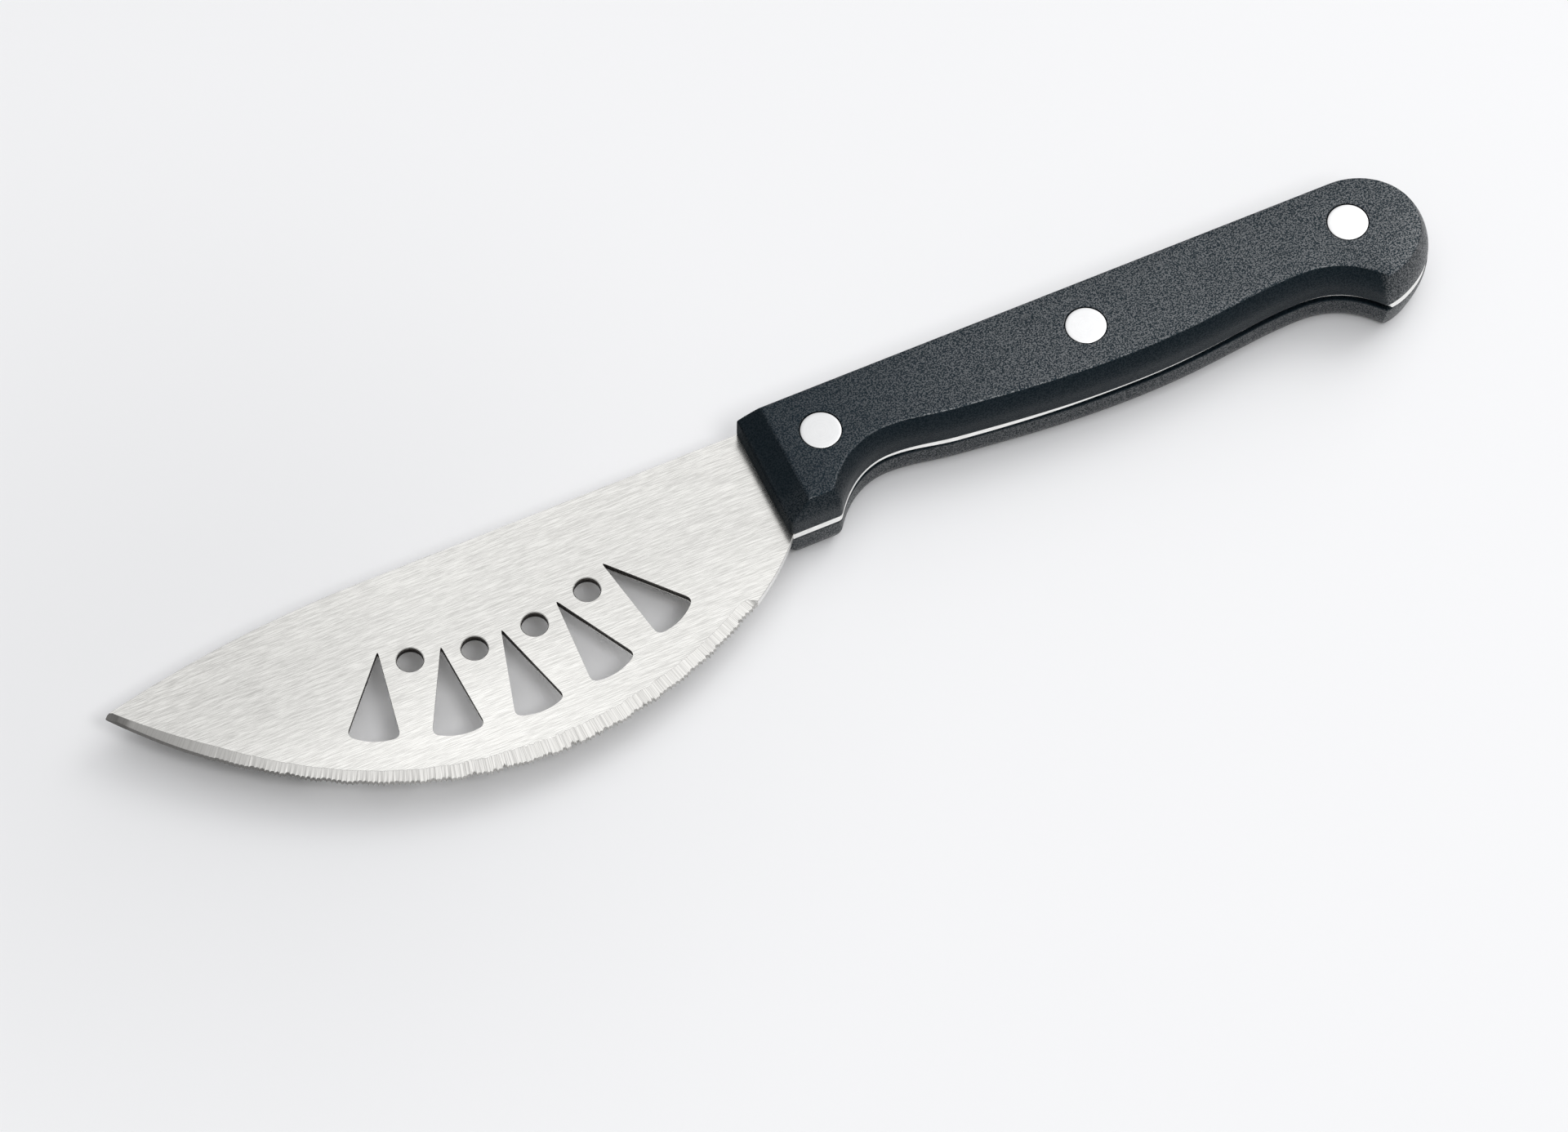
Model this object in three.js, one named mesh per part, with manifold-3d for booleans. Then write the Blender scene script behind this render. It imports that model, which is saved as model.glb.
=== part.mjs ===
// Pizza knife: a broad serrated blade with a full tang, held between two handle scales by three
// two-part rivets. It lies on its side. Millimetres, +X from the tip to the butt of the handle,
// +Y from the cutting edge to the spine, +Z up. The origin is under the middle of the knife.
//
// While it is drawn, x = 0 is the front of the handle, y = 0 the spine and z = 0 the middle of the
// steel, so that depths are measured down from the spine.

import * as THREE from "three";
import { mergeVertices } from "three/addons/utils/BufferGeometryUtils.js";
import Module from "manifold-3d";

// Steel blank
const bladeLength = 108.3;
const bladeWidth = 39.8;
const bladeThickness = 1.4;
const straightSpine = 63;
const tipDrop = 5.4;
const tipAngle = -52.8;
const bellyAhead = 47;
const heelAngle = 49.5;
const heelStep = 0.5;

// Ground edge: one bevel on the upper face, steep at its ends and widest near the belly. Grinding
// sets the edge back from the blank's outline, most at the tip. Fine teeth run in groups, and each
// group starts with a scallop that steps inwards.
const grindSetback = 0.6;
const bevelAtEnds = 0.65;
const bevelAtWidest = 2.6;
const widestShare = 0.62;
const widestSpread = 0.15;
const plainTip = 18;
const unsharpenedHeel = 13;
const heelRunOut = 0.9;
const toothPitch = 0.8;
const toothDepth = 0.28;
const toothRunIn = 12;
const teethPerScallop = 7;
const scallopDepth = 0.4;
const scallopShare = 0.55;
const fluteReach = 0.45;

// Windows: slices fanned out above the belly, with a round topping between neighbours
const sliceCount = 5;
const sliceLength = 15.5;
const sliceWidth = 8.6;
const sliceRound = 1.4;
const crustBulge = 0.7;
const crustToEdge = 8.4;
const crustPitch = 13;
const fanRadius = 66.5;
const toppingDiameter = 4.2;
const toppingFromApex = 2.2;

// Handle outline, seen from above
const handleLength = 113;
const handleThickness = 14;
const guardDepth = 20;
const guardLength = 8.7;
const guardRound = 0.6;
const frontRound = 1.1;
const guardAngle = 54;
const hollowFromFront = 20;
const hollowDepth = 13.15;
const shoulderFromFront = 31;
const shoulderDepth = 14.7;
const shoulderAngle = -7;
const swellShare = 0.54;
const swellDepth = 17;
const rearHollowFromButt = 23.5;
const rearHollowDepth = 15;
const beakFromButt = 11.5;
const beakDepth = 21.1;
const beakInAngle = -50;
const beakOutAngle = 1;
const buttLength = 11.8;
const buttCentreDepth = 9.9;

// How far the curves follow their end headings, as shares of the chord
const evenReach = 0.36;
const tipReach = 0.38;
const bellyReach = 0.34;
const heelReach = 0.31;
const swellReach = 0.45;
const rearHollowReachIn = 0.3;
const rearHollowReachOut = 0.42;
const beakReachIn = 0.37;
const beakReachOut = 0.2;
const buttReach = 0.47;

// Handle section: the wall stands upright from the tang, then rounds in to a flat face. At the butt
// it rounds in all the way up.
const crownHeight = 3.9;
const faceInset = 1.6;
const buttInset = 1.5;
const spineInset = 0.55;
const rampLength = 3.85;
const rampDropAtSpine = 2.2;
const rampDropAtGuard = 2.8;

// The tang stays back from the scales' outline, more so towards the beak, and is flush at the butt
const tangRecessAtGuard = 0.05;
const tangRecessAtBeak = 0.5;

// Rivets, evenly spread between the first and the last
const rivetNames = ["front", "middle", "rear"];
const frontRivetFromFront = 10.5;
const rearRivetFromButt = 12.3;
const rivetDepth = 8.1;
const headDiameter = 6.5;
const headThickness = 1.2;
const sleeveDiameter = 4;
const pinDiameter = 2.8;

// Clearances
const headFit = 0.1;
const sleeveFit = 0.1;
const pinFit = 0.05;
const headSetback = 0.05;
const rivetEndGap = 0.3;

// Facets
const curveSteps = 12;
const wallSteps = 7;
const roundSteps = 3;
const notchSteps = 4;
const tipStep = 1.2;
const holeSides = 36;
const windowSteps = 5;
const rampSteps = 6;
const cutterMargin = 1;

const wasm = await Module();
wasm.setup();

const steel = new THREE.MeshStandardMaterial({ color: 0xd6d5d1, roughness: 0.35, metalness: 1 });
const plastic = new THREE.MeshStandardMaterial({ color: 0x17181a, roughness: 0.5, metalness: 0 });
const aluminium = new THREE.MeshStandardMaterial({ color: 0xe9e9ea, roughness: 0.3, metalness: 1 });

const halfBlade = bladeThickness / 2;
const halfHandle = handleThickness / 2;
const beakFromFront = handleLength - beakFromButt;
const buttCentreFromFront = handleLength - buttLength;

// Closed mesh to solid and back
function toSolid(geometry) {
  const bare = geometry.clone();
  bare.deleteAttribute("normal");
  bare.deleteAttribute("uv");
  const merged = mergeVertices(bare);
  const vertProperties = Float32Array.from(merged.attributes.position.array);
  const triVerts = Uint32Array.from(merged.index.array);
  return new wasm.Manifold(new wasm.Mesh({ numProp: 3, vertProperties, triVerts }));
}

function toGeometry(solid) {
  const { vertProperties, triVerts } = solid.getMesh();
  const geometry = new THREE.BufferGeometry();
  geometry.setAttribute("position", new THREE.BufferAttribute(Float32Array.from(vertProperties), 3));
  geometry.setIndex(new THREE.BufferAttribute(Uint32Array.from(triVerts), 1));
  geometry.computeVertexNormals();
  return geometry;
}

function cut(geometry, cutters) {
  const solid = cutters.reduce((rest, cutter) => rest.subtract(toSolid(cutter)), toSolid(geometry));
  return toGeometry(solid);
}

// Skin over rings of equally many points. Each ring is { outline, z }, counter-clockwise seen from
// above, and the rings go upwards.
function loft(rings) {
  const count = rings[0].outline.length;
  const positions = rings.flatMap(({ outline, z }) => outline.flatMap((p) => [p.x, p.y, z]));
  const faces = [];
  for (let ring = 1; ring < rings.length; ring++) {
    for (let i = 0; i < count; i++) {
      const low = (ring - 1) * count;
      const next = (i + 1) % count;
      faces.push([low + i, low + next, low + count + next], [low + i, low + count + next, low + count + i]);
    }
  }
  const top = (rings.length - 1) * count;
  const lowerCap = THREE.ShapeUtils.triangulateShape(rings[0].outline, []);
  const upperCap = THREE.ShapeUtils.triangulateShape(rings.at(-1).outline, []);
  lowerCap.forEach(([a, b, c]) => faces.push([c, b, a]));
  upperCap.forEach(([a, b, c]) => faces.push([top + a, top + b, top + c]));
  const geometry = new THREE.BufferGeometry();
  geometry.setAttribute("position", new THREE.Float32BufferAttribute(positions, 3));
  geometry.setIndex(faces.flat());
  return geometry;
}

const point = (x, y) => new THREE.Vector2(x, y);

function heading(degrees) {
  const angle = THREE.MathUtils.degToRad(degrees);
  return point(Math.cos(angle), Math.sin(angle));
}

// Cubic curve that leaves one point along a heading and arrives at the next along another. The
// reaches are its handles, as shares of the chord.
function sweep(from, fromAngle, to, toAngle, reachOut = evenReach, reachIn = evenReach) {
  const chord = from.distanceTo(to);
  const leave = from.clone().addScaledVector(heading(fromAngle), chord * reachOut);
  const arrive = to.clone().addScaledVector(heading(toAngle), -chord * reachIn);
  return new THREE.CubicBezierCurve(from, leave, arrive, to);
}

// Where a corner goes when the wall before it and the wall after it move inwards
function insetCorner(corner, inAngle, outAngle, insetBefore, insetAfter) {
  const before = heading(inAngle + 90);
  const after = heading(outAngle + 90);
  const turn = before.cross(after);
  const shiftX = (insetBefore * after.y - insetAfter * before.y) / turn;
  const shiftY = (insetAfter * before.x - insetBefore * after.x) / turn;
  return point(corner.x + shiftX, corner.y + shiftY);
}

function roundCorner(corner, inAngle, outAngle, reach) {
  const start = corner.clone().addScaledVector(heading(inAngle), -reach);
  const end = corner.clone().addScaledVector(heading(outAngle), reach);
  return new THREE.QuadraticBezierCurve(start, corner, end);
}

// Points of joined curves, each curve without its last point
function trace(curves, steps) {
  return curves.flatMap((curve) => curve.getPoints(steps).slice(0, -1));
}

// Underside, beak and butt of the handle from the guard's rear corner round to the spine, each moved
// inwards. The underside's inset is a function of the distance from the handle's front.
function handleCurves(insetAt, buttSide, spineSide) {
  const moved = (x, depth) => point(x, -depth + insetAt(x));
  const guard = point(guardLength, -guardDepth);
  const guardEnd = insetCorner(guard, 0, guardAngle, insetAt(guardLength), insetAt(guardLength));
  const hollow = moved(hollowFromFront, hollowDepth);
  const shoulder = moved(shoulderFromFront, shoulderDepth);
  const swell = moved(handleLength * swellShare, swellDepth);
  const rearHollow = moved(handleLength - rearHollowFromButt, rearHollowDepth);
  const beakTip = point(beakFromFront, -beakDepth);
  const beak = insetCorner(beakTip, beakInAngle, beakOutAngle, insetAt(beakFromFront), buttSide);
  const butt = point(handleLength - buttSide, -buttCentreDepth);
  const buttWidth = butt.x - buttCentreFromFront;
  const buttHeight = buttCentreDepth - spineSide;
  const guardRounding = roundCorner(guardEnd, 0, guardAngle, guardRound);
  return {
    corner: guardRounding,
    underside: [
      sweep(guardRounding.v2, guardAngle, hollow, 0),
      sweep(hollow, 0, shoulder, shoulderAngle),
      sweep(shoulder, shoulderAngle, swell, 0),
      sweep(swell, 0, rearHollow, 0, swellReach, rearHollowReachIn),
      sweep(rearHollow, 0, beak, beakInAngle, rearHollowReachOut, beakReachIn),
      sweep(beak, beakOutAngle, butt, 90, beakReachOut, buttReach),
      new THREE.EllipseCurve(buttCentreFromFront, butt.y, buttWidth, buttHeight, 0, Math.PI / 2),
    ],
    spineEnd: point(buttCentreFromFront, -spineSide),
  };
}

// Blade and tang
const tangInset = (x) => {
  const along = THREE.MathUtils.clamp((x - guardLength) / (beakFromFront - guardLength), 0, 1);
  return THREE.MathUtils.lerp(tangRecessAtGuard, tangRecessAtBeak, along);
};

const rivetPlaces = rivetNames.map((name, index) => {
  const along = index / (rivetNames.length - 1);
  const x = THREE.MathUtils.lerp(frontRivetFromFront, handleLength - rearRivetFromButt, along);
  return point(x, -rivetDepth);
});

function edgeCurve() {
  const tip = point(-bladeLength, -tipDrop);
  const belly = point(-bellyAhead, -bladeWidth);
  const heel = point(heelStep, -guardDepth + tangInset(heelStep));
  const edge = new THREE.CurvePath();
  edge.add(sweep(tip, tipAngle, belly, 0, tipReach, bellyReach));
  edge.add(sweep(belly, 0, heel, heelAngle, heelReach, heelReach));
  return edge;
}

// Stations along the edge, as { length, notch, recess }: notch is 0 on a crest and 1 in a valley, and
// recess is how far the edge lies behind the line of the outermost crests
function edgeStations(groundLength) {
  const stations = [];
  for (let length = tipStep; length < plainTip; length += tipStep) {
    stations.push({ length, notch: 0, recess: 0 });
  }
  const toothCount = Math.floor((groundLength - plainTip) / toothPitch);
  for (let index = 0; index < toothCount * notchSteps; index++) {
    const tooth = index / notchSteps;
    const length = plainTip + tooth * toothPitch;
    const growth = Math.min((length - plainTip + toothPitch) / toothRunIn, 1);
    const notch = Math.sin(Math.PI * (tooth % 1));
    const scallop = Math.max(1 - (tooth % teethPerScallop) / teethPerScallop / scallopShare, 0);
    stations.push({ length, notch, recess: growth * (toothDepth * notch + scallopDepth * scallop) });
  }
  return stations;
}

function bladeRings() {
  const edge = edgeCurve();
  const total = edge.getLength();
  const groundLength = total - unsharpenedHeel;
  const spineRadius = ((bladeLength - straightSpine) ** 2 + tipDrop ** 2) / (2 * tipDrop);
  const sweptAngle = Math.asin((bladeLength - straightSpine) / spineRadius);
  const spineArc = (angle) => {
    return point(-straightSpine - spineRadius * Math.sin(angle), spineRadius * (Math.cos(angle) - 1));
  };
  const groundTip = 1 / Math.sin(sweptAngle - THREE.MathUtils.degToRad(tipAngle)) / spineRadius;
  const upperEnd = sweptAngle - (grindSetback + bevelAtEnds) * groundTip;
  const lowerEnd = sweptAngle - grindSetback * groundTip;
  const upper = [];
  const lower = [];
  for (let step = 0; step <= curveSteps; step++) {
    const share = step / curveSteps;
    upper.push(spineArc(upperEnd * share));
    lower.push(spineArc(lowerEnd * share));
  }
  for (const { length, notch, recess } of edgeStations(groundLength)) {
    const place = edge.getPoint(length / total);
    const tangent = edge.getTangent(length / total);
    const inwards = point(-tangent.y, tangent.x);
    const along = length / groundLength;
    const setback = grindSetback * (1 - along ** 2);
    const widening = Math.exp(-(((along - widestShare) / widestSpread) ** 2));
    const bevel = THREE.MathUtils.lerp(bevelAtEnds, bevelAtWidest, widening);
    const intoRunOut = Math.max(1 - (groundLength - length) / heelRunOut, 0);
    const runOut = Math.sqrt(1 - intoRunOut ** 2);
    upper.push(place.clone().addScaledVector(inwards, runOut * (setback + bevel + fluteReach * notch)));
    lower.push(place.clone().addScaledVector(inwards, runOut * (setback + recess)));
  }
  const heelSteps = Math.round(unsharpenedHeel / tipStep);
  for (let step = 0; step < heelSteps; step++) {
    const place = edge.getPoint((groundLength + unsharpenedHeel * step / heelSteps) / total);
    upper.push(place);
    lower.push(place);
  }
  const { corner, underside, spineEnd } = handleCurves(tangInset, 0, 0);
  const heelEnd = edge.getPoint(1);
  const tang = [heelEnd, ...trace([corner], roundSteps), ...trace(underside, curveSteps), spineEnd];
  return [
    { outline: lower.concat(tang), z: -halfBlade },
    { outline: upper.concat(tang), z: halfBlade },
  ];
}

// A pointed slice with its apex at the origin and its crust towards -Y
function sliceShape() {
  const side = point(sliceWidth / 2, -sliceLength).normalize();
  const crust = point(-sliceWidth / 2, -crustBulge * 2).normalize();
  const right = point(sliceWidth / 2, -sliceLength);
  const shape = new THREE.Shape();
  shape.moveTo(-side.x * sliceRound, side.y * sliceRound);
  shape.quadraticCurveTo(0, 0, side.x * sliceRound, side.y * sliceRound);
  shape.lineTo(right.x - side.x * sliceRound, right.y - side.y * sliceRound);
  shape.quadraticCurveTo(right.x, right.y, right.x + crust.x * sliceRound, right.y + crust.y * sliceRound);
  const crustEnd = point(-right.x - crust.x * sliceRound, right.y + crust.y * sliceRound);
  shape.quadraticCurveTo(0, right.y - 2 * crustBulge, crustEnd.x, crustEnd.y);
  shape.quadraticCurveTo(-right.x, right.y, -right.x + side.x * sliceRound, right.y - side.y * sliceRound);
  return shape;
}

function throughBlade(geometry) {
  return geometry.translate(0, 0, -halfBlade - cutterMargin);
}

function windowCutters() {
  const depth = bladeThickness + 2 * cutterMargin;
  const extrusion = { depth, bevelEnabled: false, curveSegments: windowSteps };
  const crustRadius = fanRadius - crustToEdge;
  const apexRadius = crustRadius - sliceLength;
  const place = (geometry, turns) => {
    const angle = (turns - (sliceCount - 1) / 2) * crustPitch / crustRadius;
    return throughBlade(geometry.rotateZ(angle).translate(-bellyAhead, fanRadius - bladeWidth, 0));
  };
  const cutters = [];
  for (let index = 0; index < sliceCount; index++) {
    const slice = new THREE.ExtrudeGeometry(sliceShape(), extrusion).translate(0, -apexRadius, 0);
    cutters.push(place(slice, index));
  }
  const toppingRadius = apexRadius + toppingFromApex;
  const topping = new THREE.Shape().absarc(0, -toppingRadius, toppingDiameter / 2, 0, 2 * Math.PI);
  const round = { ...extrusion, curveSegments: holeSides / 2 };
  for (let index = 0.5; index < sliceCount - 1; index++) {
    cutters.push(place(new THREE.ExtrudeGeometry(topping, round), index));
  }
  return cutters;
}

// Upright cylinder between two heights, on a rivet's axis
function rivetBore(place, diameter, bottom, top) {
  const bore = new THREE.CylinderGeometry(diameter / 2, diameter / 2, top - bottom, holeSides);
  return bore.rotateX(Math.PI / 2).translate(place.x, place.y, (top + bottom) / 2);
}

const sleeveBore = sleeveDiameter + 2 * sleeveFit;
const headBore = headDiameter + 2 * headFit;
const headTop = halfHandle - headSetback;
const headSeat = headTop - headThickness;

function makeBlade() {
  const reach = halfBlade + cutterMargin;
  const rivetHoles = rivetPlaces.map((place) => rivetBore(place, sleeveBore, -reach, reach));
  return cut(loft(bladeRings()), [...windowCutters(), ...rivetHoles]);
}

// Handle scales
function scaleOutline(inset, buttSide, spineSide) {
  const { corner, underside, spineEnd } = handleCurves(() => inset, buttSide, spineSide);
  const frontCorner = roundCorner(point(0, -guardDepth + inset), -90, 0, frontRound);
  return [
    point(0, -spineSide),
    ...trace([frontCorner], roundSteps),
    frontCorner.v2,
    ...trace([corner], roundSteps),
    ...trace(underside, curveSteps),
    spineEnd,
  ];
}

// Inset of a circular rounding at some height above its foot
function crownInset(rise, height, inset) {
  const radius = (height ** 2 + inset ** 2) / (2 * inset);
  return radius - Math.sqrt(radius ** 2 - Math.max(rise, 0) ** 2);
}

// Rings of the upper scale, from the tang to the edge of the flat face and closer together there
function scaleRings() {
  const wallHeight = halfHandle - halfBlade;
  const rings = [];
  for (let step = 0; step <= wallSteps; step++) {
    const rise = wallHeight * Math.sin(Math.PI / 2 * step / wallSteps);
    const crownRise = rise - (wallHeight - crownHeight);
    const inset = crownInset(crownRise, crownHeight, faceInset);
    const buttSide = crownInset(rise, wallHeight, buttInset);
    const spineSide = crownInset(crownRise, crownHeight, spineInset);
    rings.push({ outline: scaleOutline(inset, buttSide, spineSide), z: halfBlade + rise });
  }
  return rings;
}

// Wedge that slopes the front of the upper scale. It drops further at the guard than at the spine.
function rampCutter() {
  const rings = [];
  const back = rampLength + cutterMargin;
  for (let step = 0; step <= rampSteps; step++) {
    const share = step / rampSteps;
    const slope = THREE.MathUtils.lerp(rampDropAtSpine, rampDropAtGuard, share) / rampLength;
    const height = (x) => halfHandle + slope * (x - rampLength);
    const front = -cutterMargin;
    const outline = [point(front, height(front)), point(back, height(back)), point(front, height(back))];
    rings.push({ outline, z: THREE.MathUtils.lerp(-cutterMargin, guardDepth + cutterMargin, share) });
  }
  return loft(rings).rotateX(Math.PI / 2);
}

function makeUpperScale() {
  const bores = rivetPlaces.flatMap((place) => [
    rivetBore(place, sleeveBore, halfBlade - cutterMargin, halfHandle + cutterMargin),
    rivetBore(place, headBore, headSeat, halfHandle + cutterMargin),
  ]);
  return cut(loft(scaleRings()), [rampCutter(), ...bores]);
}

// Mirror image below the steel, with the faces turned to point outwards again
function mirrored(geometry) {
  const copy = geometry.clone().scale(1, 1, -1);
  const index = copy.index.array;
  for (let face = 0; face < index.length; face += 3) {
    [index[face], index[face + 1]] = [index[face + 1], index[face]];
  }
  copy.computeVertexNormals();
  return copy;
}

// Rivets: a headed pin from above and a headed sleeve from below
function turned(profile) {
  const points = profile.map(([radius, height]) => point(radius, height));
  return new THREE.LatheGeometry(points, holeSides).rotateX(Math.PI / 2);
}

function makePin() {
  const end = -headSeat + rivetEndGap;
  return turned([
    [0, end],
    [pinDiameter / 2, end],
    [pinDiameter / 2, headSeat],
    [headDiameter / 2, headSeat],
    [headDiameter / 2, headTop],
    [0, headTop],
  ]);
}

function makeSleeve() {
  const boreRadius = pinDiameter / 2 + pinFit;
  const end = headSeat - rivetEndGap;
  return turned([
    [0, -headTop],
    [headDiameter / 2, -headTop],
    [headDiameter / 2, -headSeat],
    [sleeveDiameter / 2, -headSeat],
    [sleeveDiameter / 2, end],
    [boreRadius, end],
    [boreRadius, -headSeat],
    [0, -headSeat],
  ]);
}

// Assembly
const knife = new THREE.Group();

function addPart(name, geometry, material) {
  const mesh = new THREE.Mesh(geometry, material);
  mesh.name = name;
  knife.add(mesh);
  return mesh;
}

const upperScale = makeUpperScale();
addPart("blade", makeBlade(), steel);
addPart("upper_scale", upperScale, plastic);
addPart("lower_scale", mirrored(upperScale), plastic);
rivetNames.forEach((name, index) => {
  const place = rivetPlaces[index];
  addPart(`${name}_rivet_pin`, makePin(), aluminium).position.set(place.x, place.y, 0);
  addPart(`${name}_rivet_sleeve`, makeSleeve(), aluminium).position.set(place.x, place.y, 0);
});

// Stand the knife on its lower scale, with the origin under the middle of its outline
const box = new THREE.Box3().setFromObject(knife, true);
const middle = box.getCenter(new THREE.Vector3());
knife.position.set(-middle.x, -middle.y, -box.min.z);

export default knife;
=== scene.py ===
# %% [markdown]
# # A pizza knife on a pale table
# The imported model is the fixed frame. Every piece below is worked out in the same frame, in metres,
# so nothing is fitted by eye. The steel blank, the two moulded scales and the turned rivets get
# finer surfaces than the solids have, with rounded rims, ground flutes and blasted plastic.

# %% Load the frame
import bpy
import bmesh
import numpy as np
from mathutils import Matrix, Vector
from mathutils.geometry import delaunay_2d_cdt


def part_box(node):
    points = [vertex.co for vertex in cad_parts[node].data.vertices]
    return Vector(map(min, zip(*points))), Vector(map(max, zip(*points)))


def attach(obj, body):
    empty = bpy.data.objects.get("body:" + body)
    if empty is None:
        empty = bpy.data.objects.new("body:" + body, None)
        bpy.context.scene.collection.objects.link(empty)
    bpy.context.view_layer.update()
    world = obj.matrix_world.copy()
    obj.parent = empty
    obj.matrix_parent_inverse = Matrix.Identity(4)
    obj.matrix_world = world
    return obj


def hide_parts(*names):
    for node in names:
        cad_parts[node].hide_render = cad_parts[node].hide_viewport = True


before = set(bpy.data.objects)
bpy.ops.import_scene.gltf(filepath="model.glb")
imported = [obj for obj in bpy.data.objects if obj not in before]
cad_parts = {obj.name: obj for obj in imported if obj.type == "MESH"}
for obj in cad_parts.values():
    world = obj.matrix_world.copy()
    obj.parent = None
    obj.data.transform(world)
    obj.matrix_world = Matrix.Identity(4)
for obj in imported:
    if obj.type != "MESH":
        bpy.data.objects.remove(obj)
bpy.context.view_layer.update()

print("CAD nodes:", ", ".join(sorted(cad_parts)))

# %% [markdown]
# The knife is easiest to describe on a drawing, in millimetres: x = 0 is the front of the handle,
# y = 0 the spine and z = 0 the middle of the steel. The frame says where those three planes lie, so
# one helper carries drawing points over. Objects could be moved and scaled into place instead, but
# then their own coordinates would no longer be those of the frame.

# %% Drawing to frame
MM = 0.001
scale_low, scale_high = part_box("upper_scale")
steel_low, steel_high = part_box("blade")
drawing_zero = np.array([scale_low.x, scale_high.y, (steel_low.z + steel_high.z) / 2])


def to_frame(points):
    """Drawing millimetres to frame metres: the drawing's zero plus a thousandth of each point."""
    return drawing_zero + MM * np.asarray(points, float)


print("drawing zero in the frame, mm:", np.round(drawing_zero / MM, 2))

# %% [markdown]
# ## Camera
# The knife was photographed from far away with a long lens, from 60 degrees up. A long lens keeps
# parallel lines almost parallel, so the handle hardly shrinks towards its end. An orthographic camera
# would come close, but it would lose the little perspective that is left.

# %% Camera
image_width = 1920
focal_pixels = 12000
camera_distance = 1.5
azimuth = np.radians(-24.65)
elevation = np.radians(60)
looked_at = to_frame([-3, -24, 0])
towards_camera = np.array([
    np.sin(azimuth) * np.cos(elevation),
    -np.cos(azimuth) * np.cos(elevation),
    np.sin(elevation),
])

camera_data = bpy.data.cameras.new("camera")
camera_data.sensor_width = 36
camera_data.lens = camera_data.sensor_width * focal_pixels / image_width
camera = bpy.data.objects.new("camera", camera_data)
camera.location = looked_at + camera_distance * towards_camera
camera.rotation_mode = "QUATERNION"
camera.rotation_quaternion = Vector(-towards_camera).to_track_quat("-Z", "Y")
bpy.context.scene.collection.objects.link(camera)
bpy.context.scene.camera = camera
print("lens, mm:", camera_data.lens)

# %% [markdown]
# ## Helpers for surfaces
# A smooth outline is a chain of curves. Blender's curve objects could draw it, but they lean in by the
# same amount all round. So each curve is written once for many outlines at the same time: every
# control point is an array with one row per ring, and a whole skin comes out of a single expression.

# %% Curves
def heading(degrees):
    """Unit vector at an angle from +x."""
    angle = np.radians(degrees)
    return np.array([np.cos(angle), np.sin(angle)])


def stack(x, y):
    """Points with x and y side by side, one row per ring."""
    x, y = np.broadcast_arrays(np.asarray(x, float), np.asarray(y, float))
    return np.stack([x, y], -1)


def cubic(start, leave, arrive, end, steps):
    """Bezier curve: (1-t)^3 a + 3(1-t)^2 t b + 3(1-t) t^2 c + t^3 d, without its last point."""
    t = np.linspace(0, 1, steps, endpoint=False)[:, None]
    a, b, c, d = (np.asarray(p, float)[..., None, :] for p in (start, leave, arrive, end))
    return (1 - t) ** 3 * a + 3 * (1 - t) ** 2 * t * b + 3 * (1 - t) * t ** 2 * c + t ** 3 * d


def sweep(start, start_angle, end, end_angle, steps, reach_out=0.36, reach_in=0.36):
    """Curve that leaves one point along a heading and arrives at the next along another. The reaches
    are the lengths of its handles, as shares of the chord."""
    chord = np.linalg.norm(end - start, axis=-1, keepdims=True)
    leave = start + chord * reach_out * heading(start_angle)
    arrive = end - chord * reach_in * heading(end_angle)
    return cubic(start, leave, arrive, end, steps)


def rounded(start, corner, end, steps):
    """Quadratic curve from start to end, pulled towards the corner, without its last point."""
    return cubic(start, (start + 2 * corner) / 3, (end + 2 * corner) / 3, end, steps)


def straight(start, end, steps):
    """Evenly spaced points from start to end, without the last one."""
    t = np.linspace(0, 1, steps, endpoint=False)[:, None]
    return start[..., None, :] * (1 - t) + end[..., None, :] * t


print("curves: cubic, sweep, rounded and straight")

# %% [markdown]
# A mesh is a list of points and a list of faces that name them by number. Two rings of points make a
# band of quads, and a stack of bands makes a skin. Primitives with modifiers would be quicker to start
# with, but here every point stays where a formula puts it.

# %% Skins and meshes
hard_bend = np.radians(32)


def ring_faces(first, second):
    """Quads between closed rings of vertex numbers, from the first to the second."""
    return np.stack([first, np.roll(first, -1, -1), np.roll(second, -1, -1), second], -1)


def skin_faces(rings, count):
    """Quads over a grid of rings that close on themselves."""
    numbers = np.arange(rings * count).reshape(rings, count)
    return ring_faces(numbers[:-1], numbers[1:]).reshape(-1, 4)


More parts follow.
